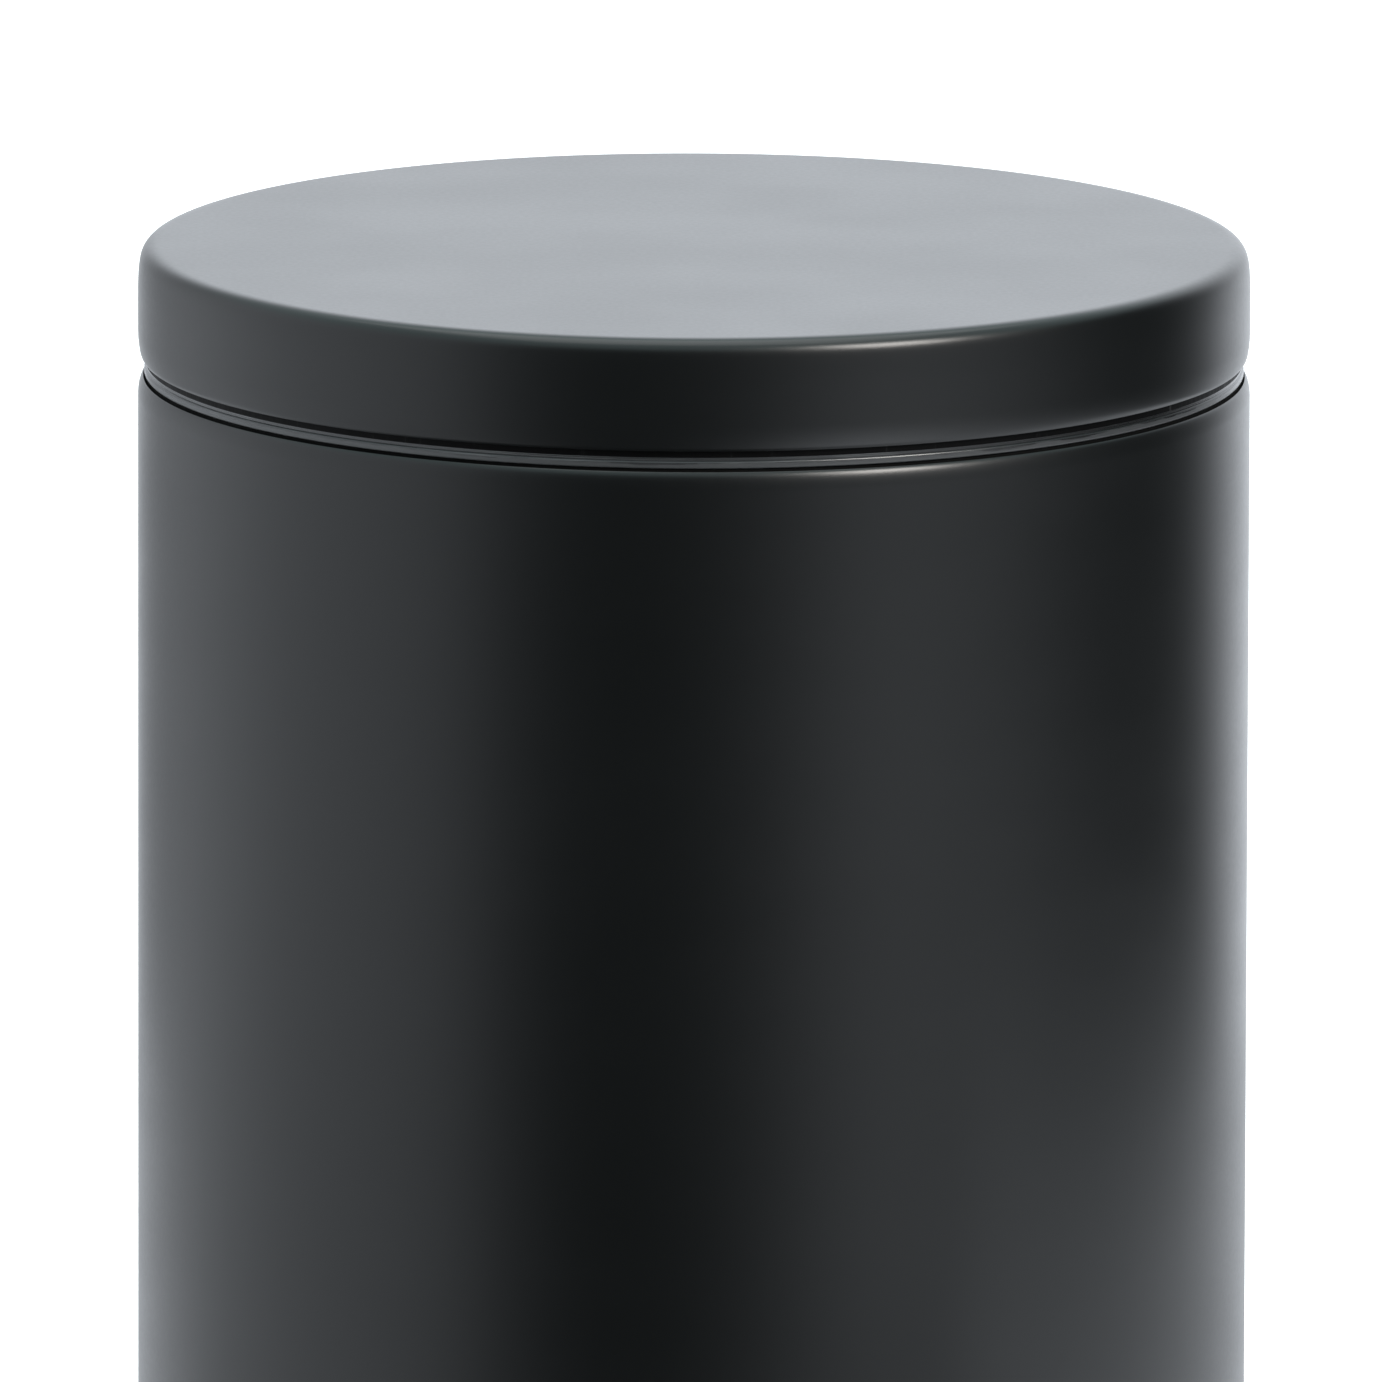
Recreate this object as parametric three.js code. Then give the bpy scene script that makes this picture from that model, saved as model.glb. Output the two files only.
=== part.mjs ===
// A round slip-lid candle tin: a tinplate can with a collar in its mouth, over which the lid fits
// flush with the body. Millimetres, +Z up, origin on the tin's axis at the height of the surface
// it stands on. Every piece is a body of revolution, and every metal piece is one sheet of
// tinplate, so each is drawn as the path of its mid-surface and given the sheet's thickness.

import * as THREE from "three";

// Overall sizes.
const TIN_RADIUS = 40; // outside of the body wall, and of the lid's skirt
const TIN_HEIGHT = 100; // from the surface it stands on to the top of the lid

// Tinplate.
const WALL_PLATE = 0.25;
const COLLAR_PLATE = 0.25;
const LID_PLATE = 0.25;
const BASE_PLATE = 0.25;

// Lid: a drawn cap, the edge of its skirt turned in.
const LID_HEIGHT = 8;
const LID_EDGE_RADIUS = 1.5; // outside radius where the top panel turns into the skirt
const LID_LIP_RADIUS = 0.5; // outside radius of the bend above the turned-in edge
const LID_LIP_TURN = 36; // degrees that the edge is turned in by
const LID_CLEARANCE = 0.08; // between the lid's edge and the collar, on the radius
const LID_SEAT_GAP = 0.08; // between the lid's top panel and the rim that it rests on
const LID_TO_BODY = 1.5; // the open band between the seated lid's edge and the body's

// Body wall: the upper edge is turned in over the collar.
const BODY_LIP_RADIUS = 1.1; // outside radius of the turned-in edge

// Collar: a short sleeve in the mouth. Its foot lies against the wall, it steps in under the
// body's edge, which holds it down, and its upper edge is curled.
const COLLAR_INSET = 0.58; // from the outside of the tin in to the outside of the collar
const COLLAR_GAP = 0.04; // between the collar and the wall, all along
const COLLAR_FOOT = 12; // length of the part that lies against the wall
const COLLAR_STEP_BEND = 0.6; // mid-surface radius of the step's two bends
const RIM_CURL = 1.6; // diameter across the curl of the rim
const RIM_CURL_SWEEP = 295; // degrees that the curl turns through, so that its edge is tucked away

// Double seam: the wall's lower edge and the base's edge, folded into each other.
const SEAM_HEIGHT = 2.8;
const SEAM_GAP = 0.04; // the film of sealing compound between neighbouring layers
const SEAM_BEND = 0.3; // mid-surface radius of the base's lower bends; a flat land lies between them
const HOOK_BEND = 0.165; // mid-surface radius of the bends below the wall's hook
const WALL_HOOK_TIP = 0.35; // from the top of the seam's inner space down to the wall hook's edge
const BASE_HOOK_TIP = 0.3; // from the wall hook's lower bends up to the base hook's edge

// Base panel: recessed into the tin, with one stiffening step.
const BASE_RECESS = 3.6; // from the standing surface up to the panel's outer ring, underneath
const BASE_CORNER_RADIUS = 0.9; // outside radius between the panel and its upright wall
const BASE_STEP_DROP = 0.5; // how far the middle of the panel lies below its outer ring
const BASE_STEP_INSET = 6; // from the base's upright wall in to the step
const BASE_STEP_BEND = 0.6; // mid-surface radius of the step's two bends

// Facets of a full turn. All pieces share it, so their facets stay parallel.
const TURN_FACETS = 60;
const DEGREES_PER_SAMPLE = 32;

const SATIN_ENAMEL = { color: 0x1c1e20, roughness: 0.42, metalness: 0.1 };
const GLOSS_ENAMEL = { color: 0x2a2d2f, roughness: 0.25, metalness: 0.2 };
const SEALING_COMPOUND = { color: 0x8a8f8c, roughness: 0.9, metalness: 0 };

// A sheet's path is a list of samples {r, z, nr, nz}: a point of the mid-surface, and the unit
// normal on its left as the path is followed.

// One bend of the sheet about the point (r, z). Turning anticlockwise (to > from) puts the centre
// on the left, clockwise puts it on the right.
function bend(r, z, midRadius, from, to) {
  const steps = Math.max(2, Math.ceil(Math.abs(to - from) / DEGREES_PER_SAMPLE));
  const side = Math.sign(from - to);
  return Array.from({ length: steps + 1 }, (_, i) => {
    const angle = THREE.MathUtils.degToRad(from + ((to - from) * i) / steps);
    const [c, s] = [Math.cos(angle), Math.sin(angle)];
    return { r: r + midRadius * c, z: z + midRadius * s, nr: side * c, nz: side * s };
  });
}

// The sheet's section: its left face from end to end, then its right face back again. A path that
// begins on the axis leaves the section open there, and any other closes on itself.
function sheetSection(path, plate) {
  const face = (sign) =>
    path.map((p) => new THREE.Vector2(p.r + (sign * p.nr * plate) / 2, p.z + (sign * p.nz * plate) / 2));
  const section = [...face(1), ...face(-1).reverse()];
  if (path[0].r > 0) section.push(section[0].clone());
  return section;
}

// Turns a section about the tin's axis into a named mesh. A section that runs anticlockwise
// in (r, z) faces outwards.
function turned(name, section, finish) {
  const area = section.reduce((sum, p, i) => {
    const q = section[(i + 1) % section.length];
    return sum + p.x * q.y - q.x * p.y;
  }, 0);
  const outward = area > 0 ? section : [...section].reverse();
  const geometry = new THREE.LatheGeometry(outward, TURN_FACETS).rotateX(Math.PI / 2);
  const mesh = new THREE.Mesh(geometry, new THREE.MeshStandardMaterial(finish));
  mesh.name = name;
  return mesh;
}

// Outside radius of the collar where it stands out of the body and the lid goes over it.
const collarRadius = TIN_RADIUS - COLLAR_INSET;

// The lid's section, from the axis: top panel, rounded edge, skirt, and the edge turned in by a
// short bend and a straight run that ends just clear of the collar.
function lidSection() {
  const half = LID_PLATE / 2;
  const turn = THREE.MathUtils.degToRad(LID_LIP_TURN);
  const lipBend = LID_LIP_RADIUS - half;
  const bendCentre = TIN_RADIUS - LID_LIP_RADIUS;
  const edge = collarRadius + LID_CLEARANCE + half * Math.cos(turn);
  const run = (bendCentre + lipBend * Math.cos(turn) - edge) / Math.tan(turn);
  const path = [
    { r: 0, z: LID_HEIGHT - half, nr: 0, nz: 1 },
    ...bend(
      TIN_RADIUS - LID_EDGE_RADIUS,
      LID_HEIGHT - LID_EDGE_RADIUS,
      LID_EDGE_RADIUS - half,
      90,
      0,
    ),
    ...bend(bendCentre, run + LID_LIP_RADIUS * Math.sin(turn), lipBend, 0, -LID_LIP_TURN),
    { r: edge, z: half * Math.sin(turn), nr: Math.cos(turn), nz: -Math.sin(turn) },
  ];
  return sheetSection(path, LID_PLATE);
}

// Radii of the layers of the double seam, from the base's upright wall outwards. Each is the
// mid-surface of one layer.
function seamLayers() {
  const wall = TIN_RADIUS - WALL_PLATE / 2;
  const pitch = (WALL_PLATE + BASE_PLATE) / 2 + SEAM_GAP;
  return {
    baseWall: wall - pitch,
    wall,
    baseHook: wall + pitch,
    wallHook: wall + 2 * pitch,
    seamWall: wall + 3 * pitch,
  };
}

// Heights inside the double seam.
function seamHeights() {
  const { baseHook, seamWall } = seamLayers();
  const wallFold = BASE_PLATE + SEAM_GAP + WALL_PLATE / 2; // mid-surface of the wall under its hook
  const foldRadius = (seamWall - baseHook) / 2; // of the base's fold over the wall hook
  const foldCentre = SEAM_HEIGHT - BASE_PLATE / 2 - foldRadius;
  return { wallFold, foldRadius, foldCentre };
}

// The body's turned-in edge: the degrees that it turns through until its inner corner is just
// clear of the collar, how far it reaches along the axis, and the height of the bend's centre,
// where the wall stops being straight.
function bodyLip() {
  const innerCorner = collarRadius + COLLAR_GAP - (TIN_RADIUS - BODY_LIP_RADIUS);
  const turn = Math.acos(innerCorner / (BODY_LIP_RADIUS - WALL_PLATE));
  const reach = BODY_LIP_RADIUS * Math.sin(turn);
  const centre = TIN_HEIGHT - LID_HEIGHT - LID_TO_BODY - reach;
  return { degrees: THREE.MathUtils.radToDeg(turn), reach, centre };
}

// The body wall's section, upwards: its hook in the double seam, the straight wall and the
// turned-in edge.
function bodySection() {
  const { wall, wallHook } = seamLayers();
  const { wallFold, foldRadius, foldCentre } = seamHeights();
  const hookTip = foldCentre + foldRadius - BASE_PLATE / 2 - WALL_HOOK_TIP;
  const lip = bodyLip();
  const path = [
    { r: wallHook, z: hookTip, nr: 1, nz: 0 },
    ...bend(wallHook - HOOK_BEND, wallFold + HOOK_BEND, HOOK_BEND, 0, -90),
    ...bend(wall + HOOK_BEND, wallFold + HOOK_BEND, HOOK_BEND, -90, -180),
    ...bend(
      TIN_RADIUS - BODY_LIP_RADIUS,
      lip.centre,
      BODY_LIP_RADIUS - WALL_PLATE / 2,
      0,
      lip.degrees,
    ),
  ];
  return sheetSection(path, WALL_PLATE);
}

// A step from one level of a sheet to another by two equal bends that meet halfway: the degrees
// that each turns through, and half the length that the step takes up.
function stepBends(height, midRadius) {
  const turn = Math.acos(1 - height / (2 * midRadius));
  return { degrees: THREE.MathUtils.radToDeg(turn), reach: midRadius * Math.sin(turn) };
}

// The collar's section, upwards: its foot against the wall, the step under the body's turned-in
// edge, the sleeve that the lid goes over, and the rim's inward curl.
function collarSection() {
  const half = COLLAR_PLATE / 2;
  const foot = TIN_RADIUS - WALL_PLATE - COLLAR_GAP - half;
  const sleeve = collarRadius - half;
  const step = stepBends(foot - sleeve, COLLAR_STEP_BEND);
  const lip = bodyLip();
  const lipInnerReach = (lip.reach * (BODY_LIP_RADIUS - WALL_PLATE)) / BODY_LIP_RADIUS;
  const stepTop = lip.centre + lipInnerReach - COLLAR_GAP;
  const stepFoot = stepTop - 2 * step.reach;
  const rim = TIN_HEIGHT - LID_PLATE - LID_SEAT_GAP;
  const rimRadius = RIM_CURL / 2;
  const path = [
    { r: foot, z: stepFoot - COLLAR_FOOT, nr: -1, nz: 0 },
    ...bend(foot - COLLAR_STEP_BEND, stepFoot, COLLAR_STEP_BEND, 0, step.degrees).slice(0, -1),
    ...bend(sleeve + COLLAR_STEP_BEND, stepTop, COLLAR_STEP_BEND, 180 + step.degrees, 180),
    ...bend(collarRadius - rimRadius, rim - rimRadius, rimRadius - half, 0, RIM_CURL_SWEEP),
  ];
  return sheetSection(path, COLLAR_PLATE);
}

// The base's section: middle of the panel, its step, the outer ring, the upright wall, and the
// fold round the outside of the seam down to the hook behind the wall's own hook.
function baseSection() {
  const { baseWall, baseHook, wallHook, seamWall } = seamLayers();
  const { wallFold, foldRadius, foldCentre } = seamHeights();
  const half = BASE_PLATE / 2;
  const ring = BASE_RECESS + half;
  const middle = ring - BASE_STEP_DROP;
  const { degrees, reach } = stepBends(BASE_STEP_DROP, BASE_STEP_BEND);
  const step = baseWall - BASE_STEP_INSET;
  const cornerMid = BASE_CORNER_RADIUS - half;
  const path = [
    { r: 0, z: middle, nr: 0, nz: 1 },
    ...bend(step - reach, middle + BASE_STEP_BEND, BASE_STEP_BEND, -90, degrees - 90).slice(0, -1),
    ...bend(step + reach, ring - BASE_STEP_BEND, BASE_STEP_BEND, 90 + degrees, 90),
    ...bend(baseWall - cornerMid, ring - cornerMid, cornerMid, 90, 0),
    ...bend(baseWall + SEAM_BEND, half + SEAM_BEND, SEAM_BEND, 180, 270),
    ...bend(seamWall - SEAM_BEND, half + SEAM_BEND, SEAM_BEND, 270, 360),
    ...bend(wallHook, foldCentre, foldRadius, 0, 180),
    { r: baseHook, z: wallFold + HOOK_BEND + BASE_HOOK_TIP, nr: 1, nz: 0 },
  ];
  return sheetSection(path, BASE_PLATE);
}

// The sealing compound's section: what is squeezed into the fold above the edge of the wall's
// hook, clear of the metal by the seam's gap.
function compoundSection() {
  const { wallHook } = seamLayers();
  const { foldRadius, foldCentre } = seamHeights();
  const inner = foldRadius - BASE_PLATE / 2; // radius of the fold's inner space
  const round = inner - SEAM_GAP;
  const bottom = foldCentre + inner - WALL_HOOK_TIP + SEAM_GAP;
  const crown = [0, 45, 90, 135, 180].map((degrees) => {
    const angle = THREE.MathUtils.degToRad(degrees);
    return new THREE.Vector2(
      wallHook + round * Math.cos(angle),
      foldCentre + round * Math.sin(angle),
    );
  });
  const section = [
    new THREE.Vector2(wallHook - round, bottom),
    new THREE.Vector2(wallHook + round, bottom),
    ...crown,
  ];
  return [...section, section[0].clone()];
}

const tin = new THREE.Group();
tin.add(turned("body_wall", bodySection(), SATIN_ENAMEL));
tin.add(turned("collar", collarSection(), GLOSS_ENAMEL));
tin.add(turned("base_end", baseSection(), SATIN_ENAMEL));
tin.add(turned("seam_compound", compoundSection(), SEALING_COMPOUND));

const lidGroup = new THREE.Group();
lidGroup.position.z = TIN_HEIGHT - LID_HEIGHT;
lidGroup.add(turned("lid", lidSection(), SATIN_ENAMEL));
tin.add(lidGroup);

export default tin;
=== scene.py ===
from types import SimpleNamespace

import bpy
import numpy as np
from mathutils import Matrix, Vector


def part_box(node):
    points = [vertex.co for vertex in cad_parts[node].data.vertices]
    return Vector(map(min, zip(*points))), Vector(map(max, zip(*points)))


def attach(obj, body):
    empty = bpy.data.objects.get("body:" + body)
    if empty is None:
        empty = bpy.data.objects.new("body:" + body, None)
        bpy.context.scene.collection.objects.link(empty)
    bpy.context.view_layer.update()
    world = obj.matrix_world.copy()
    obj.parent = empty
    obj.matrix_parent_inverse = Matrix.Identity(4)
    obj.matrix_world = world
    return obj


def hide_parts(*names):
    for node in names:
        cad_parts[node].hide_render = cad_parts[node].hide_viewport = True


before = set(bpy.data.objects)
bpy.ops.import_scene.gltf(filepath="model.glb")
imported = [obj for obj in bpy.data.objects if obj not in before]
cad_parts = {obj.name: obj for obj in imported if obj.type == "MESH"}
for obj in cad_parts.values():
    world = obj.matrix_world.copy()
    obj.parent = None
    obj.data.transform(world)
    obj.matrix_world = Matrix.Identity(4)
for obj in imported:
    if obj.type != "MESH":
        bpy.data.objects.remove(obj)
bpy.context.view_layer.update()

# ---------------------------------------------------------------------------------------------
# Body wall: one sheet of tinplate rolled into a tube and lap-welded down the back, its upper edge
# turned in over the collar and its lower edge hooked into the double seam. Black satin stoving
# enamel outside, bare tin under clear lacquer inside.
# ---------------------------------------------------------------------------------------------
PLATE = 0.00025
TURNS = 360  # facets of a full turn
ARC_STEP = 7.0  # degrees between samples of a bend
CREASE = 40.0  # degrees from which an edge shades as sharp

wall_low, wall_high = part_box("body_wall")
lid_low, lid_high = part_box("lid")
tin_radius = lid_high.x

COLLAR_INSET = 0.00058  # how far the collar is set back from the wall's outside
collar_radius = tin_radius - COLLAR_INSET

SEAM_HEIGHT = 0.0028
SEAM_GAP = 0.00004  # slip between two layers of sheet
HOOK_BEND = 0.000165
WALL_HOOK_SHORT = 0.00035  # room left for the sealing compound above the wall's hook
seam_pitch = PLATE + SEAM_GAP
wall_mid = tin_radius - PLATE / 2
base_wall_mid = wall_mid - seam_pitch
base_hook_mid = wall_mid + seam_pitch
wall_hook_mid = wall_mid + 2 * seam_pitch
seam_wall_mid = wall_mid + 3 * seam_pitch
wall_fold = PLATE + SEAM_GAP + PLATE / 2
fold_radius = (seam_wall_mid - base_hook_mid) / 2
fold_centre = SEAM_HEIGHT - PLATE / 2 - fold_radius
wall_hook_tip = fold_centre + fold_radius - PLATE / 2 - WALL_HOOK_SHORT

WALL_START = 0.0034  # height of the first row of the straight wall
WALL_SHORT = 0.0002  # how far below the turned-in edge its last row is
WALL_ROWS = 12

BODY_LIP_RADIUS = 0.0011
BODY_LIP_EVEN, BODY_LIP_LATE = 0.5, 8
COLLAR_GAP = 0.00004
body_lip_turn = np.degrees(
    np.arccos((BODY_LIP_RADIUS - COLLAR_INSET + COLLAR_GAP) / (BODY_LIP_RADIUS - PLATE))
)
body_lip_centre = wall_high.z - BODY_LIP_RADIUS * np.sin(np.radians(body_lip_turn))

WELD_WIDTH = 0.0011  # the lap, pressed nearly flat by the welding wheels
WELD_PROUD = 0.00007
WELD_SLOPE = 0.0002  # width of the step on each side of the lap
WELD_END = 0.0004  # height over which the lap dies away at its ends
WELD_LOW = SEAM_HEIGHT + 0.0003  # height at which it starts


def bend(r, z, radius, start, stop):
    """One bend of a sheet: points on a circle about (r, z) from one angle to the other in even
    steps. Rows are r, z and the unit normal on the left of the path, which points to the centre
    on an anticlockwise bend and away from it on a clockwise one."""
    count = max(2, int(np.ceil(abs(stop - start) / ARC_STEP)) + 1)
    angle = np.radians(np.linspace(start, stop, count))
    across = np.stack([np.cos(angle), np.sin(angle)], axis=1)
    return np.hstack([np.array([r, z]) + radius * across, np.sign(start - stop) * across])


def eased_bend(r, z, heading, turn, reach, share):
    """A bend without a fixed radius: it sets off from (r, z) and its heading changes by
    turn * share(u) as u runs from 0 to 1, so the points are the running sums of the unit heading
    vectors, scaled until the path has moved sideways from its first heading by reach."""
    u = np.linspace(0, 1, 401)
    angle = np.radians(heading + turn * share(u))
    along = np.stack([np.cos(angle), np.sin(angle)], axis=1)
    steps = (along[1:] + along[:-1]) / 2
    points = np.vstack([[0, 0], np.cumsum(steps, axis=0)])
    start = np.radians(heading)
    sideways = np.abs(points @ np.array([-np.sin(start), np.cos(start)]))
    points = np.array([r, z]) + points * reach / sideways[-1]
    rows = np.hstack([points, -along[:, 1:], along[:, :1]])
    return rows[::10]


def tightening(even, late):
    """The share of a bend's turn that is done at u: even * u + (1 - even) * u**late, so some of
    it is spread out evenly and the rest comes at the end."""
    return lambda u: even * u + (1 - even) * u**late


def lip_travel(radius, turn):
    """How far a turned-in edge of that outside radius carries the mid-surface inwards: the radius
    of the mid-surface times one minus the cosine of the turn."""
    return (radius - PLATE / 2) * (1 - np.cos(np.radians(turn)))


def sheet_section(path):
    """A closed section of sheet metal: the mid-surface moved half a plate to the left, followed by
    the same moved half a plate to the right and read backwards."""
    left = path[:, :2] + path[:, 2:] * PLATE / 2
    right = path[:, :2] - path[:, 2:] * PLATE / 2
    return np.vstack([left, right[::-1]])


def turned(name, section, finishes, sides=None, swell=None):
    """A body of revolution: each section point (r, z) goes to (r cos a, r sin a, z) for every
    angle a of a full turn. A section that starts and ends on the axis is closed by a fan at each
    pole, and any other section runs round on itself. swell(a, r, z) is added to the radius. sides
    gives the finish of each stretch between neighbouring section points."""
    after_r, after_z = np.roll(section, -1, axis=0).T
    area = np.sum(section[:, 0] * after_z - after_r * section[:, 1])
    sides = np.zeros(len(section), int) if sides is None else sides
    if area < 0:
        section = section[::-1]
        sides = np.roll(sides[::-1], -1)
    polar = section[0, 0] < 1e-9
    rings = section[1:-1] if polar else section
    angle = -np.pi / 2 + 2 * np.pi * np.arange(TURNS) / TURNS
    r = np.repeat(rings[:, :1], TURNS, axis=1)
    z = np.repeat(rings[:, 1:], TURNS, axis=1)
    if swell is not None:
        r = r + swell(angle[None, :], r, z)
    points = np.stack([r * np.cos(angle), r * np.sin(angle), z], axis=2).reshape(-1, 3)
    rows = np.arange(len(rings))[:, None]
    cols = np.arange(TURNS)[None, :]
    after = (cols + 1) % TURNS
    last = len(rings) - 1 if polar else len(rings)
    above = (rows[:last] + 1) % len(rings)
    quads = np.stack(
        [
            rows[:last] * TURNS + cols,
            rows[:last] * TURNS + after,
            above * TURNS + after,
            above * TURNS + cols,
        ],
        axis=2,
    ).reshape(-1, 4)
    faces = quads.tolist()
    stretch = np.repeat(sides[1:-1] if polar else sides, TURNS)[: len(quads)]
    if polar:
        low, high = len(points), len(points) + 1
        points = np.vstack([points, [[0, 0, section[0, 1]], [0, 0, section[-1, 1]]]])
        ring = np.arange(TURNS)
        turn_on = (ring + 1) % TURNS
        top = (len(rings) - 1) * TURNS
        faces += np.stack([np.full(TURNS, low), turn_on, ring], axis=1).tolist()
        faces += np.stack([top + ring, top + turn_on, np.full(TURNS, high)], axis=1).tolist()
        stretch = np.concatenate([stretch, np.full(TURNS, sides[0]), np.full(TURNS, sides[-2])])
    mesh = bpy.data.meshes.new(name)
    mesh.from_pydata(points.tolist(), [], faces)
    for finish in finishes:
        mesh.materials.append(finish)
    mesh.polygons.foreach_set("material_index", stretch.astype(np.int32))
    mesh.polygons.foreach_set("use_smooth", np.ones(len(mesh.polygons), bool))
    mesh.set_sharp_from_angle(angle=np.radians(CREASE))
    mesh.update()
    piece = bpy.data.objects.new(name, mesh)
    bpy.context.scene.collection.objects.link(piece)
    return piece


def new_finish(name):
    """An empty node material with one Principled shader, and the short hands that its patterns
    are made with. add puts in a node and join links two sockets. noise is a Noise texture on
    Object coordinates times a scale for each axis, spread a smooth step between two values,
    blend a mix of two colours, and bump a Bump node, on top of another's normal if one is
    given."""
    finish = bpy.data.materials.new(name)
    finish.use_nodes = True
    tree = finish.node_tree
    tree.nodes.clear()

    def add(kind, **values):
        node = tree.nodes.new("ShaderNode" + kind)
        for key, value in values.items():
            if hasattr(node, key):
                setattr(node, key, value)
            else:
                node.inputs[key.replace("_", " ")].default_value = value
        return node

    def join(a, b):
        tree.links.new(a, b)

    where = add("TexCoord")
    shader = add("BsdfPrincipled")
    out = add("OutputMaterial")
    join(shader.outputs[0], out.inputs["Surface"])

    def noise(scale, detail=2.0, rough=0.5):
        squeeze = add("Mapping", Scale=scale)
        join(where.outputs["Object"], squeeze.inputs["Vector"])
        field = add("TexNoise", Scale=1.0, Detail=detail, Roughness=rough)
        join(squeeze.outputs["Vector"], field.inputs["Vector"])
        return field.outputs["Fac"]

    def spread(value, low, high, to_low, to_high):
        node = add("MapRange", interpolation_type="SMOOTHSTEP")
        node.inputs["From Min"].default_value = low
        node.inputs["From Max"].default_value = high
        node.inputs["To Min"].default_value = to_low
        node.inputs["To Max"].default_value = to_high
        join(value, node.inputs["Value"])
        return node.outputs["Result"]

    def maths(operation, a, b):
        node = add("Math", operation=operation)
        for socket, value in zip(node.inputs, (a, b)):
            if isinstance(value, (int, float)):
                socket.default_value = value
            else:
                join(value, socket)
        return node.outputs[0]

    def blend(factor, one, other):
        node = add("Mix", data_type="RGBA")
        factor_socket, one_socket, other_socket = node.inputs[0], node.inputs[6], node.inputs[7]
        join(factor, factor_socket)
        for socket, colour in ((one_socket, one), (other_socket, other)):
            if isinstance(colour, tuple):
                socket.default_value = (*colour, 1)
            else:
                join(colour, socket)
        return node.outputs[2]

    def bump(height, strength, distance, under=None):
        node = add("Bump", Strength=strength, Distance=distance)
        join(height, node.inputs["Height"])
        if under is not None:
            join(under, node.inputs["Normal"])
        return node.outputs["Normal"]

    return SimpleNamespace(
        finish=finish, shader=shader.inputs, where=where, add=add, join=join, noise=noise,
        spread=spread, maths=maths, blend=blend, bump=bump,
    )


def black_enamel():
    """Stoved black enamel: nearly black, satin, with the faint ripple of a rolled-on coat, slow
    changes of gloss, and a very fine grain."""
    kit = new_finish("black_enamel")
    kit.shader["IOR"].default_value = 1.5
    cloud = kit.noise((60, 60, 60), 3.0)
    colour = kit.blend(cloud, (0.0020, 0.0025, 0.0026), (0.0030, 0.0036, 0.0038))
    kit.join(colour, kit.shader["Base Color"])
    grain = kit.noise((2600, 2600, 2600))
    rubbed = kit.noise((60, 60, 180), 4.0)
    slow = kit.spread(rubbed, 0.3, 0.7, 0.285, 0.305)
    quick = kit.spread(grain, 0.3, 0.7, -0.01, 0.01)
    kit.join(kit.maths("ADD", slow, quick), kit.shader["Roughness"])
    ripple = kit.bump(kit.noise((420, 420, 260)), 0.006, 0.00002)
    kit.join(kit.bump(grain, 0.03, 0.000004, ripple), kit.shader["Normal"])
    return kit.finish


def lacquered_tinplate():
    """Electrolytic tinplate under clear lacquer: bright grey metal with the rolling grain of the
    strip running up the wall, and slow clouds in its colour."""
    kit = new_finish("lacquered_tinplate")
    kit.shader["Metallic"].default_value = 1.0
    kit.shader["Coat Weight"].default_value = 0.35
    kit.shader["Coat Roughness"].default_value = 0.18
    cloud = kit.noise((45, 45, 45), 3.0)
    kit.join(kit.blend(cloud, (0.50, 0.50, 0.48), (0.60, 0.60, 0.585)), kit.shader["Base Color"])
    rolling = kit.noise((2200, 2200, 40), 3.0)
    kit.join(kit.spread(rolling, 0.3, 0.7, 0.27, 0.35), kit.shader["Roughness"])
    kit.join(kit.bump(rolling, 0.11, 0.000006), kit.shader["Normal"])
    return kit.finish


enamel = black_enamel()
tin_inside = lacquered_tinplate()

body_lip = eased_bend(
    wall_mid,
    0,
    90,
    body_lip_turn,
    lip_travel(BODY_LIP_RADIUS, body_lip_turn),
    tightening(BODY_LIP_EVEN, BODY_LIP_LATE),
)
body_lip[:, 1] += wall_high.z - (body_lip[-1, 1] - body_lip[-1, 3] * PLATE / 2)
wall_rows = np.linspace(WALL_START, body_lip[0, 1] - WALL_SHORT, WALL_ROWS)
wall_path = np.vstack(
    [
        [[wall_hook_mid, wall_hook_tip, 1, 0]],
        bend(wall_hook_mid - HOOK_BEND, wall_fold + HOOK_BEND, HOOK_BEND, 0, -90),
        bend(wall_mid + HOOK_BEND, wall_fold + HOOK_BEND, HOOK_BEND, -90, -180),
        [[wall_mid, z, -1, 0] for z in wall_rows],
        body_lip,
    ]
)


def weld_lap(angle, r, z):
    """The lap weld at the back: the outer face stands proud by a flat-topped ridge, whose height
    falls off by smooth steps on both sides, above the double seam and below the turned-in edge."""
    from_weld = np.abs((angle - np.pi / 2 + np.pi) % (2 * np.pi) - np.pi) * r
    across = np.clip((WELD_WIDTH / 2 + WELD_SLOPE - from_weld) / WELD_SLOPE, 0, 1)
    above_seam = np.clip((z - WELD_LOW) / WELD_END, 0, 1)
    below_lip = np.clip((body_lip_centre - z) / WELD_END, 0, 1)
    along = above_seam * below_lip
    outside = r > tin_radius - PLATE / 2
    return WELD_PROUD * across**2 * (3 - 2 * across) * along * outside


wall_section = sheet_section(wall_path)
wall_sides = np.where(np.arange(len(wall_section)) < len(wall_path) - 1, 1, 0)
body_wall = turned("body_wall_skin", wall_section, [enamel, tin_inside], wall_sides, weld_lap)
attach(body_wall, "tin")
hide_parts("body_wall")

# ---------------------------------------------------------------------------------------------
# Collar: a short sleeve of tinplate held in the mouth by the wall's turned-in edge, with its own
# upper edge curled in. A thin glossy black varnish outside, rubbed round by the lid's edge, and
# bare tin inside. There is painted shade in the groove at its foot and a painted shadow on the
# ring under the lid's edge, and its -X side is painted lighter as a painted reflection.
# ---------------------------------------------------------------------------------------------
collar_low, collar_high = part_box("collar")

COLLAR_STEP_BEND = 0.0006
RIM_RADIUS = 0.00072
RIM_SWEEP = 295  # degrees that the rim is curled through
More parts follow.
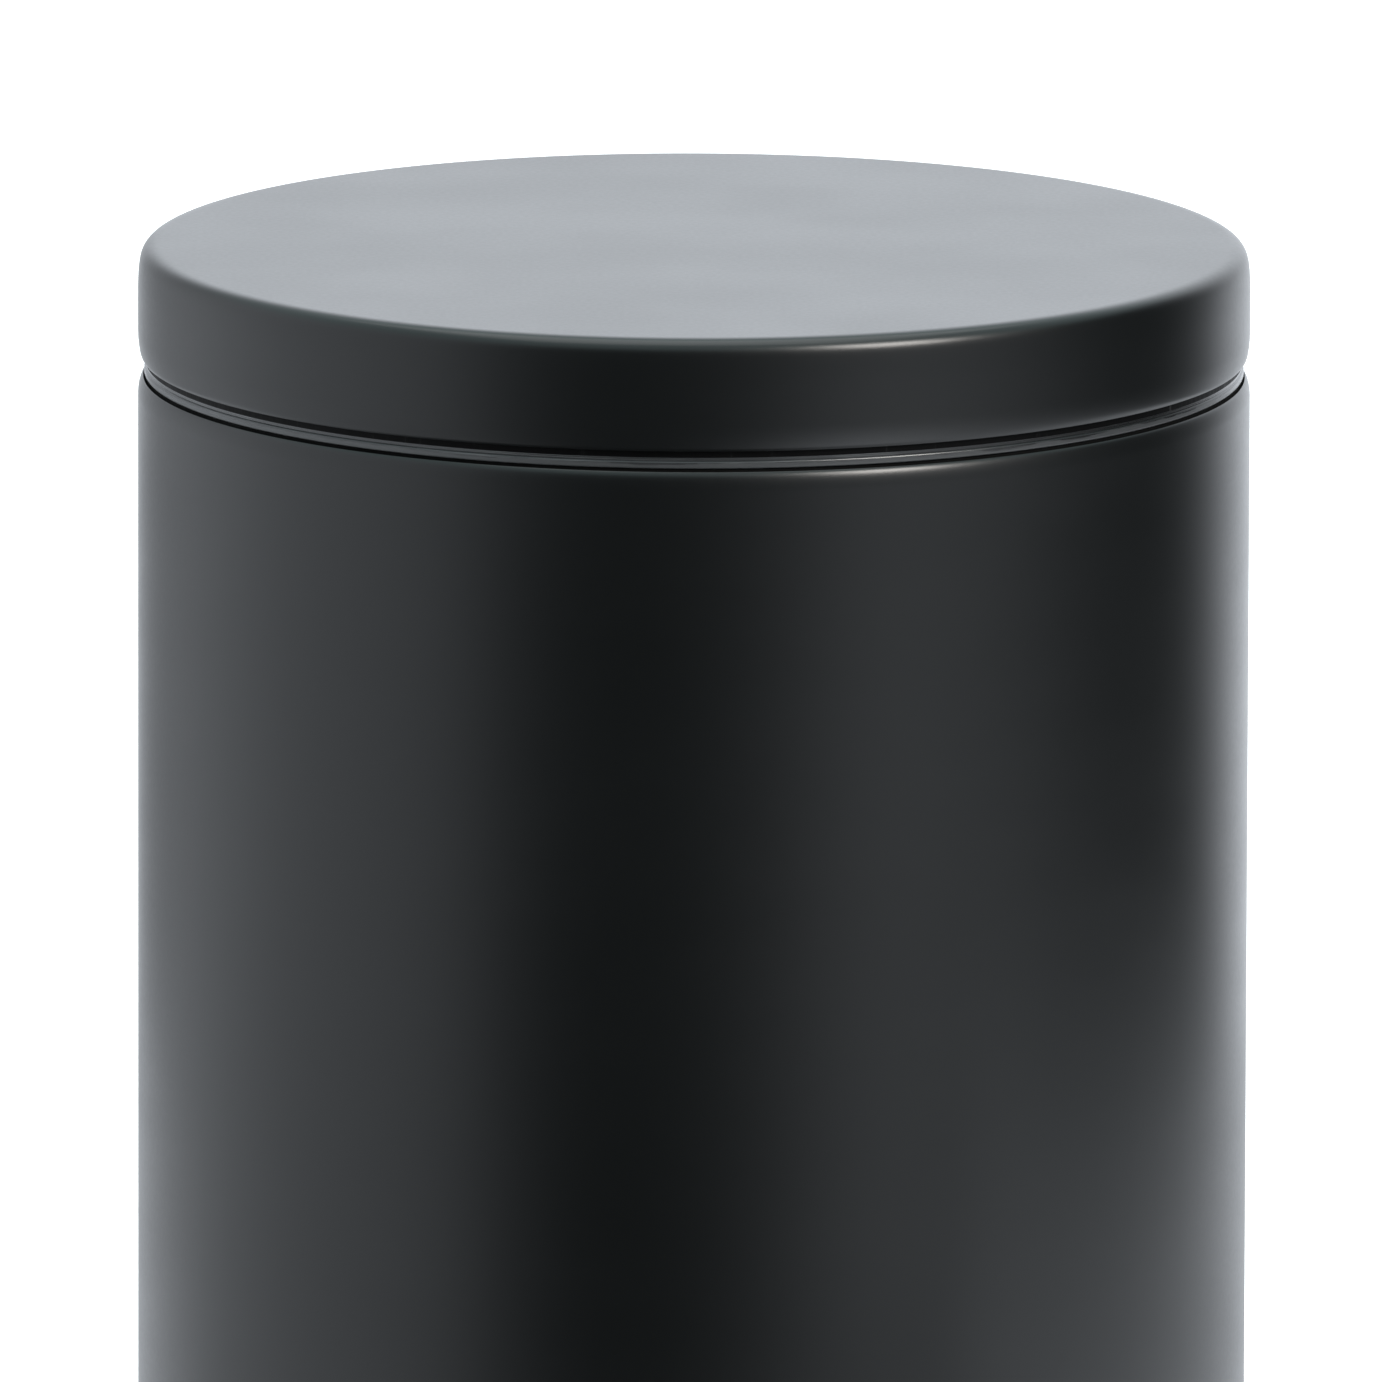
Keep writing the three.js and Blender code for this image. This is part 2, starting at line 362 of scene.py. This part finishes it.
# The bead at the foot of the visible band, above a groove against the wall's turned-in edge.
BEAD_FOOT, BEAD_HEIGHT, BEAD_PROUD = 0.00026, 0.00044, 0.00013
BEAD_START, BEAD_STOP = -0.06, 1.12  # in shares of the bead's height, as are the next two
BEAD_RISE, BEAD_FALL = 0.22, 0.34
BEAD_POINTS = 26
GROOVE_DEPTH = 0.00009
GROOVE_TOP = 0.02  # also a share of the bead's height
GROOVE_HIDDEN = 0.0006  # how far the groove's painted shade reaches down behind the wall's edge
STRIP_TOP = wall_high.z + BEAD_FOOT + 0.00031  # top of the strip that is worn through
STRIP_EDGE = 0.00006  # half the height over which the strip fades out
STRIP_WANDER = 0.0009
RING_LOW, RING_HIGH = lid_low.z - 0.0005, lid_low.z + 0.0009  # the ring where the lid's edge sits, which is given a painted shadow
HAIR = 0.00001  # slack in comparing heights

collar_foot_mid = tin_radius - PLATE - SEAM_GAP - PLATE / 2
collar_mid = collar_radius - PLATE / 2
collar_step_turn = np.arccos(1 - (collar_foot_mid - collar_mid) / (2 * COLLAR_STEP_BEND))
collar_step_reach = COLLAR_STEP_BEND * np.sin(collar_step_turn)
collar_step_top = (
    body_lip_centre + (BODY_LIP_RADIUS - PLATE) * np.sin(np.radians(body_lip_turn)) - SEAM_GAP
)
collar_step_foot = collar_step_top - 2 * collar_step_reach
step_degrees = np.degrees(collar_step_turn)


def black_varnish():
    """Thin black varnish over tinplate: glossy, combed round the collar by fine scuffs, with a
    dull grey strip at its foot where it has been rubbed through. Painted light: the -X side is
    painted lighter, with its scuffs lighter too, as a painted reflection of the brighter light
    there."""
    kit = new_finish("black_varnish")
    kit.shader["IOR"].default_value = 1.5
    kit.shader["Coat Weight"].default_value = 0.25
    kit.shader["Coat Roughness"].default_value = 0.12
    place = kit.add("SeparateXYZ")
    kit.join(kit.where.outputs["Object"], place.inputs[0])
    # painted light: a mask that makes the -X side lighter, a painted reflection
    painted_light_side = kit.spread(place.outputs["X"], 0.006, 0.030, 1.0, 0.0)
    unsteady = kit.maths("SUBTRACT", kit.noise((170, 170, 300), 3.0, 0.6), 0.5)
    height = kit.maths("ADD", place.outputs["Z"], kit.maths("MULTIPLY", unsteady, STRIP_WANDER))
    worn = kit.spread(height, STRIP_TOP - STRIP_EDGE, STRIP_TOP + STRIP_EDGE, 1.0, 0.0)
    scuffs = kit.noise((90, 90, 21000), 3.0, 0.65)
    patches = kit.spread(kit.noise((130, 130, 700)), 0.40, 0.62, 0.0, 1.0)
    streaks = kit.maths("MULTIPLY", kit.spread(scuffs, 0.52, 0.72, 0.0, 1.0), patches)
    streaks = kit.maths("MULTIPLY", streaks, kit.maths("ADD", painted_light_side, 0.35))
    whole = kit.blend(painted_light_side, (0.007, 0.0075, 0.008), (0.020, 0.021, 0.0225))
    colour = kit.blend(streaks, whole, (0.085, 0.088, 0.092))
    through = kit.blend(painted_light_side, (0.030, 0.031, 0.033), (0.034, 0.0355, 0.0375))
    kit.join(kit.blend(worn, colour, through), kit.shader["Base Color"])
    gloss = kit.spread(scuffs, 0.3, 0.7, 0.22, 0.34)
    kit.join(kit.maths("ADD", gloss, kit.maths("MULTIPLY", worn, 0.12)), kit.shader["Roughness"])
    kit.join(kit.bump(scuffs, 0.35, 0.00001), kit.shader["Normal"])
    return kit.finish


def painted_groove_shade():
    """Painted shade: dull black at the bottom of the groove, standing in for the shade there."""
    kit = new_finish("painted_groove_shade")
    kit.shader["Specular IOR Level"].default_value = 0.08
    # painted shade: near-black colour with a faint random mottle
    shade_mottle = kit.noise((900, 900, 900))
    colour = kit.blend(shade_mottle, (0.002, 0.002, 0.002), (0.005, 0.005, 0.005))
    kit.join(colour, kit.shader["Base Color"])
    kit.join(kit.spread(shade_mottle, 0.3, 0.7, 0.7, 0.9), kit.shader["Roughness"])
    return kit.finish


def lid_edge_shadow_and_scratches():
    """Painted shadow on the varnish where the lid's edge sits: dull and nearly black, standing in
    for the shade under that edge, with faint upright scratches left by that edge as the lid is
    drawn off and pushed on."""
    kit = new_finish("lid_edge_shadow_and_scratches")
    kit.shader["Specular IOR Level"].default_value = 0.06
    scratch = kit.noise((5200, 5200, 60), 2.0, 0.6)
    places = kit.spread(kit.noise((260, 260, 120)), 0.45, 0.65, 0.0, 1.0)
    shown = kit.maths("MULTIPLY", kit.spread(scratch, 0.60, 0.74, 0.0, 1.0), places)
    # painted shadow: nearly black base colour, with lighter scratches over it
    colour = kit.blend(shown, (0.0015, 0.0015, 0.0016), (0.022, 0.0225, 0.023))
    kit.join(colour, kit.shader["Base Color"])
    kit.join(kit.spread(scratch, 0.3, 0.7, 0.42, 0.55), kit.shader["Roughness"])
    kit.join(kit.bump(scratch, 0.2, 0.000006), kit.shader["Normal"])
    return kit.finish


# The bead's outline is a smooth step up from its foot and a longer one down to its top.
bead_level = np.linspace(BEAD_START, BEAD_STOP, BEAD_POINTS)
bead_up, bead_down = bead_level / BEAD_RISE, (BEAD_STOP - bead_level) / BEAD_FALL
bead_steps = np.clip(np.where(bead_level < 0.5, bead_up, bead_down), 0, 1)
bead_shape = bead_steps**2 * (3 - 2 * bead_steps)
foot_bead = np.zeros((BEAD_POINTS, 4))
foot_bead[:, 0] = collar_mid - GROOVE_DEPTH * (bead_level < GROOVE_TOP) + BEAD_PROUD * bead_shape
foot_bead[:, 1] = wall_high.z + BEAD_FOOT + BEAD_HEIGHT * bead_level
bead_slope = np.gradient(foot_bead[:, :2], axis=0)
bead_slope /= np.linalg.norm(bead_slope, axis=1)[:, None]
foot_bead[:, 2:] = np.stack([-bead_slope[:, 1], bead_slope[:, 0]], axis=1)
foot_bead[[0, -1], 2:] = [-1, 0]
collar_step_low = bend(
    collar_foot_mid - COLLAR_STEP_BEND, collar_step_foot, COLLAR_STEP_BEND, 0, step_degrees
)
collar_step_high = bend(
    collar_mid + COLLAR_STEP_BEND, collar_step_top, COLLAR_STEP_BEND, 180 + step_degrees, 180
)
collar_rim = bend(
    collar_radius - RIM_RADIUS,
    collar_high.z - RIM_RADIUS,
    RIM_RADIUS - PLATE / 2,
    0,
    RIM_SWEEP,
)
collar_path = np.vstack(
    [
        [[collar_foot_mid, collar_low.z, -1, 0]],
        collar_step_low[:-1],
        collar_step_high,
        foot_bead,
        [[collar_mid, RING_LOW, -1, 0], [collar_mid, RING_HIGH, -1, 0]],
        collar_rim,
    ]
)
collar_section = sheet_section(collar_path)
stretch_number = np.arange(len(collar_section))
collar_sides = np.where(stretch_number < len(collar_path) - 1, 1, 0)
outer_stretch = stretch_number >= len(collar_path) - 1
section_height = collar_section[:, 1]
in_painted_groove_shade = (section_height > wall_high.z - GROOVE_HIDDEN) & (
    section_height < wall_high.z + BEAD_FOOT + HAIR
)
on_painted_lid_shadow = (section_height > RING_LOW + HAIR) & (section_height < RING_HIGH + HAIR)
# painted shade in the groove
collar_sides[in_painted_groove_shade & outer_stretch] = 2
# painted shadow on the ring under the lid's edge
collar_sides[on_painted_lid_shadow & outer_stretch] = 3
collar = turned(
    "collar_skin",
    collar_section,
    [black_varnish(), tin_inside, painted_groove_shade(), lid_edge_shadow_and_scratches()],
    collar_sides,
)
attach(collar, "tin")
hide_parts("collar")

# ---------------------------------------------------------------------------------------------
# Base: a stamped tinplate disc, recessed, with one stiffening step, its edge folded with the
# wall's into a double seam. Black enamel underneath and round the seam, bare tin inside.
# ---------------------------------------------------------------------------------------------
base_low, base_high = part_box("base_end")

BASE_RADII = (0.0, 0.006, 0.014, 0.022, 0.029)  # of the points across the flat middle
BASE_STEP_DROP = 0.0005
BASE_STEP_INSET = 0.006
BASE_STEP_BEND = 0.0006
BASE_HOOK_TIP = 0.0003
BASE_CORNER = 0.0009
SEAM_BEND = 0.0003

base_ring = base_high.z - PLATE / 2
base_middle = base_ring - BASE_STEP_DROP
base_corner = BASE_CORNER - PLATE / 2
base_step = base_wall_mid - BASE_STEP_INSET
base_step_turn = np.arccos(1 - BASE_STEP_DROP / (2 * BASE_STEP_BEND))
base_reach = BASE_STEP_BEND * np.sin(base_step_turn)
base_degrees = np.degrees(base_step_turn)
base_step_low = bend(
    base_step - base_reach, base_middle + BASE_STEP_BEND, BASE_STEP_BEND, -90, base_degrees - 90
)
base_step_high = bend(
    base_step + base_reach, base_ring - BASE_STEP_BEND, BASE_STEP_BEND, 90 + base_degrees, 90
)
base_path = np.vstack(
    [
        [[r, base_middle, 0, 1] for r in BASE_RADII],
        base_step_low[:-1],
        base_step_high,
        bend(base_wall_mid - base_corner, base_ring - base_corner, base_corner, 90, 0),
        bend(base_wall_mid + SEAM_BEND, PLATE / 2 + SEAM_BEND, SEAM_BEND, 180, 270),
        bend(seam_wall_mid - SEAM_BEND, PLATE / 2 + SEAM_BEND, SEAM_BEND, 270, 360),
        bend(wall_hook_mid, fold_centre, fold_radius, 0, 180),
        [[base_hook_mid, wall_fold + HOOK_BEND + BASE_HOOK_TIP, 1, 0]],
    ]
)
base_section = sheet_section(base_path)
base_sides = np.where(np.arange(len(base_section)) < len(base_path) - 1, 1, 0)
base_end = turned("base_end_skin", base_section, [enamel, tin_inside], base_sides)
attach(base_end, "tin")
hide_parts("base_end")

# ---------------------------------------------------------------------------------------------
# Sealing compound: the thin ring of grey rubber flowed into the base's fold before seaming. It
# sits above the edge of the wall's hook, inside the double seam.
# ---------------------------------------------------------------------------------------------


def sealing_compound():
    """Dried can-seam compound: dull grey rubber, slightly mottled."""
    kit = new_finish("sealing_compound")
    mottle = kit.noise((900, 900, 900), 3.0)
    kit.join(kit.blend(mottle, (0.22, 0.23, 0.22), (0.31, 0.32, 0.31)), kit.shader["Base Color"])
    kit.join(kit.spread(mottle, 0.3, 0.7, 0.72, 0.88), kit.shader["Roughness"])
    kit.join(kit.bump(mottle, 0.4, 0.00002), kit.shader["Normal"])
    return kit.finish


CROWN_POINTS = 25
bead_space = fold_radius - PLATE / 2
bead_round = bead_space - SEAM_GAP
bead_foot = fold_centre + bead_space - WALL_HOOK_SHORT + SEAM_GAP
crown_angle = np.radians(np.linspace(0, 180, CROWN_POINTS))
crown_r = wall_hook_mid + bead_round * np.cos(crown_angle)
crown_z = fold_centre + bead_round * np.sin(crown_angle)
crown = np.stack([crown_r, crown_z], axis=1)
bead_section = np.vstack(
    [[[wall_hook_mid - bead_round, bead_foot], [wall_hook_mid + bead_round, bead_foot]], crown]
)
compound = turned("seam_compound_skin", bead_section, [sealing_compound()])
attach(compound, "tin")
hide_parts("seam_compound")

# ---------------------------------------------------------------------------------------------
# Lid: a cap drawn from one disc of tinplate, softly rounded at the top, the edge of its skirt
# turned in so that it slips over the collar. Black satin enamel outside, bare tin inside.
# ---------------------------------------------------------------------------------------------
LID_RADII = (0.0, 0.006, 0.014, 0.022, 0.03, 0.036)  # of the points across the panel
LID_EDGE_DROP = 0.0034  # height over which the panel turns down into the skirt
LID_EDGE_MAIN = 0.58  # share of the way round that holds all but the last of the turn
LID_EDGE_LEFT = 12 / 90  # what is left of the turn then, spread out down the skirt
LID_EDGE_REST = 0.15  # share of the way round at which that spreading starts
LID_LIP_TURN = 36.0
LID_LIP_EVEN, LID_LIP_LATE = 0.33, 14
LID_CLEARANCE = 0.00008
LID_LEAN = 0.00024  # how far the skirt's edge leans in before its last straight stretch

lid_lip = eased_bend(
    wall_mid, 0, -90, -LID_LIP_TURN, LID_LEAN, tightening(LID_LIP_EVEN, LID_LIP_LATE)
)
lip_across, lip_down = np.cos(np.radians(LID_LIP_TURN)), np.sin(np.radians(LID_LIP_TURN))
lid_lip_end = np.array([collar_radius + LID_CLEARANCE + lip_across * PLATE / 2, 0])
lid_lip_end[1] = lid_lip[-1, 1] - (lid_lip[-1, 0] - lid_lip_end[0]) * lip_across / lip_down
lid_lip = np.vstack([lid_lip, [*lid_lip_end, *lid_lip[-1, 2:]]])
lid_lip[:, 1] += lid_low.z + lip_down * PLATE / 2 - lid_lip_end[1]
lid_top_mid = lid_high.z - PLATE / 2


def lid_edge_share(u):
    """How much of the quarter turn is done a share u of the way round: u - sin(2 pi u) / (2 pi)
    over the main part, plus a smooth step for what is left over."""
    main = np.clip(u / LID_EDGE_MAIN, 0, 1)
    rest = np.clip((u - LID_EDGE_REST) / (1 - LID_EDGE_REST), 0, 1)
    main = main - np.sin(2 * np.pi * main) / (2 * np.pi)
    return (1 - LID_EDGE_LEFT) * main + LID_EDGE_LEFT * rest**2 * (3 - 2 * rest)


lid_edge = eased_bend(0, lid_top_mid, 0, -90, LID_EDGE_DROP, lid_edge_share)
lid_edge[:, 0] += wall_mid - lid_edge[-1, 0]
lid_path = np.vstack(
    [
        [[r, lid_top_mid, 0, 1] for r in LID_RADII],
        lid_edge,
        lid_lip,
    ]
)
lid_section = sheet_section(lid_path)
lid_sides = np.where(np.arange(len(lid_section)) < len(lid_path), 0, 1)
lid = turned("lid_skin", lid_section, [enamel, tin_inside], lid_sides)
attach(lid, "lid")
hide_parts("lid")

# ---------------------------------------------------------------------------------------------
# Floor: one wide flat sheet of pale matt paper, on which the tin stands. It is lit through from
# below, as on a light table, and so nearly white.
# ---------------------------------------------------------------------------------------------
FLOOR_HALF = 3.0

floor_mesh = bpy.data.meshes.new("paper_floor")
floor_mesh.from_pydata(
    [
        (-FLOOR_HALF, -FLOOR_HALF, 0),
        (FLOOR_HALF, -FLOOR_HALF, 0),
        (FLOOR_HALF, FLOOR_HALF, 0),
        (-FLOOR_HALF, FLOOR_HALF, 0),
    ],
    [],
    [(0, 1, 2, 3)],
)
floor = bpy.data.objects.new("paper_floor", floor_mesh)
bpy.context.scene.collection.objects.link(floor)
paper = new_finish("pale_paper")
paper.shader["Base Color"].default_value = (0.86, 0.86, 0.86, 1)
paper.shader["Roughness"].default_value = 0.95
paper.shader["Specular IOR Level"].default_value = 0.0
paper.shader["Emission Color"].default_value = (1, 1, 1, 1)
paper.shader["Emission Strength"].default_value = 0.62
floor_mesh.materials.append(paper.finish)
floor.visible_glossy = False

# ---------------------------------------------------------------------------------------------
# Studio: a white cyclorama behind, a large soft box on the left, a weaker one on the right front,
# and black flags between them, all as one surrounding band of light that changes with bearing.
# ---------------------------------------------------------------------------------------------
# Bearing in degrees from the tin's front (-Y), positive to the right, and the brightness there.
BAND = [
    (-180, 1.66), (-170, 1.22), (-158, 0.68), (-146, 0.62), (-135, 0.78), (-125, 0.97),
    (-109, 1.09), (-90, 1.02), (-76, 0.97), (-64, 0.90), (-52, 0.74), (-41, 0.31),
    (-30, 0.09), (-19, 0.03), (-9, 0.03), (0, 0.06), (12, 0.16), (22, 0.33),
    (33, 0.55), (44, 0.63), (55, 0.57), (67, 0.45), (80, 0.22), (94, 0.07),
    (111, 0.02), (123, 0.10), (132, 0.32), (139, 0.74), (146, 1.14), (153, 1.38),
    (165, 1.60), (180, 1.66),
]
# The same a little below the level of the table top. Straight below, all is dark.
LOW_BAND = [
    (-180, 0.5), (-140, 0.5), (-110, 0.9), (-90, 0.9), (-64, 0.75), (-52, 0.62), (-41, 0.27),
    (-30, 0.07), (-9, 0.03), (0, 0.07), (14, 0.3), (28, 1.3), (40, 2.0), (54, 1.6), (67, 0.9),
    (80, 0.4), (100, 0.12), (123, 0.1), (180, 0.5),
]
LIGHT_COLOUR = (0.95, 1.0, 1.065)
CEILING = (0.78, 1.0, 1.02, 1)
DARK_UNDER = (0.01, 0.01, 0.01, 1)
# Sines of the elevations between which one light passes into the next.
BAND_TO_CEILING = (0.42, 0.78)
DARK_TO_LOW_BAND = (-0.90, -0.66)
LOW_BAND_TO_BAND = (-0.48, -0.25)
BACKDROP_WHITE = 1.1

world = bpy.data.worlds.new("studio")
world.use_nodes = True
bpy.context.scene.world = world
sky = world.node_tree
sky.nodes.clear()
direction = sky.nodes.new("ShaderNodeTexCoord")
parts = sky.nodes.new("ShaderNodeSeparateXYZ")
sky.links.new(direction.outputs["Generated"], parts.inputs[0])
toward_front = sky.nodes.new("ShaderNodeMath")
toward_front.operation = "MULTIPLY"
toward_front.inputs[1].default_value = -1.0
sky.links.new(parts.outputs["Y"], toward_front.inputs[0])
bearing = sky.nodes.new("ShaderNodeMath")
bearing.operation = "ARCTAN2"
sky.links.new(parts.outputs["X"], bearing.inputs[0])
sky.links.new(toward_front.outputs[0], bearing.inputs[1])
around = sky.nodes.new("ShaderNodeMapRange")
around.inputs["From Min"].default_value = -np.pi
around.inputs["From Max"].default_value = np.pi
sky.links.new(bearing.outputs[0], around.inputs["Value"])


def light_ramp(levels):
    """A colour ramp over the full turn of bearings, with a stop for each (degrees, brightness)."""
    node = sky.nodes.new("ShaderNodeValToRGB")
    node.color_ramp.interpolation = "LINEAR"
    stops = node.color_ramp.elements
    while len(stops) < len(levels):
        stops.new(0.5)
    for stop, (degrees, brightness) in zip(stops, levels):
        stop.position = (degrees + 180) / 360
    for stop, (degrees, brightness) in zip(stops, levels):
        stop.color = (*(brightness * c for c in LIGHT_COLOUR), 1)
    sky.links.new(around.outputs["Result"], node.inputs["Fac"])
    return node.outputs["Color"]


def light_by_height(change, below_it, above_it):
    """One light below and another above, with a smooth step over change, a pair of sines of the
    elevation."""
    step = sky.nodes.new("ShaderNodeMapRange")
    step.interpolation_type = "SMOOTHSTEP"
    step.inputs["From Min"].default_value, step.inputs["From Max"].default_value = change
    sky.links.new(parts.outputs["Z"], step.inputs["Value"])
    node = sky.nodes.new("ShaderNodeMix")
    node.data_type = "RGBA"
    sky.links.new(step.outputs["Result"], node.inputs[0])
    for socket, light in ((node.inputs[6], below_it), (node.inputs[7], above_it)):
        if isinstance(light, tuple):
            socket.default_value = light
        else:
            sky.links.new(light, socket)
    return node.outputs[2]


upper_light = light_by_height(BAND_TO_CEILING, light_ramp(BAND), CEILING)
lower_light = light_by_height(DARK_TO_LOW_BAND, DARK_UNDER, light_ramp(LOW_BAND))
all_light = light_by_height(LOW_BAND_TO_BAND, lower_light, upper_light)
glow = sky.nodes.new("ShaderNodeBackground")
sky.links.new(all_light, glow.inputs["Color"])
white = sky.nodes.new("ShaderNodeBackground")
white.inputs["Color"].default_value = (1, 1, 1, 1)
white.inputs["Strength"].default_value = BACKDROP_WHITE
ray = sky.nodes.new("ShaderNodeLightPath")
choose = sky.nodes.new("ShaderNodeMixShader")
sky.links.new(ray.outputs["Is Camera Ray"], choose.inputs["Fac"])
sky.links.new(glow.outputs[0], choose.inputs[1])
sky.links.new(white.outputs[0], choose.inputs[2])
world_out = sky.nodes.new("ShaderNodeOutputWorld")
sky.links.new(choose.outputs[0], world_out.inputs["Surface"])

# White card on the table, behind the tin and round to its right, seen only in its gloss.
CARD_NEAR = 0.055
CARD_HEIGHT = 0.0005
CARD_START, CARD_STOP = 24, 256  # bearings
CARD_POINTS = 40

card_bearing = np.linspace(CARD_START, CARD_STOP, CARD_POINTS)
card_far = np.interp(card_bearing, [24, 44, 56], [0.085, 0.10, 0.23])
card_glow = np.interp(
    card_bearing, [24, 60, 170, 190, 205, 225, 256], [0.6, 1.25, 1.2, 1.1, 1.0, 1.02, 1.1]
)
card_turn = np.radians(card_bearing)
card_ring = np.stack([np.sin(card_turn), -np.cos(card_turn)], axis=1)
card_points = np.vstack([card_ring * CARD_NEAR, card_ring * card_far[:, None]])
card_points = np.hstack([card_points, np.full((2 * CARD_POINTS, 1), CARD_HEIGHT)])
near = np.arange(CARD_POINTS - 1)
far = near + CARD_POINTS
card_mesh = bpy.data.meshes.new("white_card")
card_mesh.from_pydata(
    card_points.tolist(), [], np.stack([near, far, far + 1, near + 1], axis=1).tolist()
)
glow_attribute = card_mesh.attributes.new("glow", "FLOAT", "POINT")
glow_attribute.data.foreach_set("value", np.tile(card_glow, 2).astype(np.float32))
card = bpy.data.objects.new("white_card", card_mesh)
bpy.context.scene.collection.objects.link(card)
lit_card = new_finish("lit_card")
card_level = lit_card.add("Attribute", attribute_name="glow")
lit_card.join(card_level.outputs["Fac"], lit_card.shader["Emission Strength"])
lit_card.shader["Base Color"].default_value = (0, 0, 0, 1)
lit_card.shader["Specular IOR Level"].default_value = 0.0
lit_card.shader["Emission Color"].default_value = (*LIGHT_COLOUR, 1)
card_mesh.materials.append(lit_card.finish)
card.visible_camera = False
card.visible_diffuse = False
card.visible_shadow = False


def soft_box(name, place, look_at, side, watts, colour):
    """A square soft box at place, facing look_at."""
    data = bpy.data.lights.new(name, "AREA")
    data.size = side
    data.energy, data.color = watts, colour
    box = bpy.data.objects.new(name, data)
    box.location = place
    toward = np.array(look_at) - np.array(place)
    box.rotation_euler = (
        float(np.arctan2(np.hypot(toward[0], toward[1]), -toward[2])),
        0.0,
        float(np.arctan2(toward[1], toward[0]) - np.pi / 2),
    )
    box.visible_camera = False
    bpy.context.scene.collection.objects.link(box)


soft_box("overhead", (0, 0.2, 1.6), (0, 0, 0), 1.4, 9.0, (1.0, 1.0, 1.0))
soft_box("edge_light", (0.75, -0.75, 0.87), (0, 0, 0.095), 0.44, 12.5, (1.0, 0.955, 0.91))

# ---------------------------------------------------------------------------------------------
# Camera: a long lens well back from the tin, square to its plain front and a little above its
# lid, so the panel shows as a flat ellipse.
# ---------------------------------------------------------------------------------------------
CAMERA_AWAY = 2.4
CAMERA_RISE = np.radians(10.65)
CAMERA_ROLL = np.radians(0.16)
SENSOR_WIDTH = 36.0  # millimetres
FRAME_WIDTH = 0.0996  # what the view takes in at the tin's axis
AIM = (-0.00015, 0.0673)  # x and z on the axis plane that the view is centred on

camera_data = bpy.data.cameras.new("camera")
camera_data.sensor_width = SENSOR_WIDTH
camera_data.lens = SENSOR_WIDTH * CAMERA_AWAY / FRAME_WIDTH
camera_data.clip_start = 0.05
camera_data.clip_end = 60.0
camera = bpy.data.objects.new("camera", camera_data)
camera.location = (
    AIM[0],
    -CAMERA_AWAY * np.cos(CAMERA_RISE),
    AIM[1] + CAMERA_AWAY * np.sin(CAMERA_RISE),
)
tilt = Matrix.Rotation(np.pi / 2 - CAMERA_RISE, 3, "X") @ Matrix.Rotation(CAMERA_ROLL, 3, "Z")
camera.rotation_euler = tilt.to_euler()
bpy.context.scene.collection.objects.link(camera)
bpy.context.scene.camera = camera
bpy.context.scene.view_settings.view_transform = "Standard"
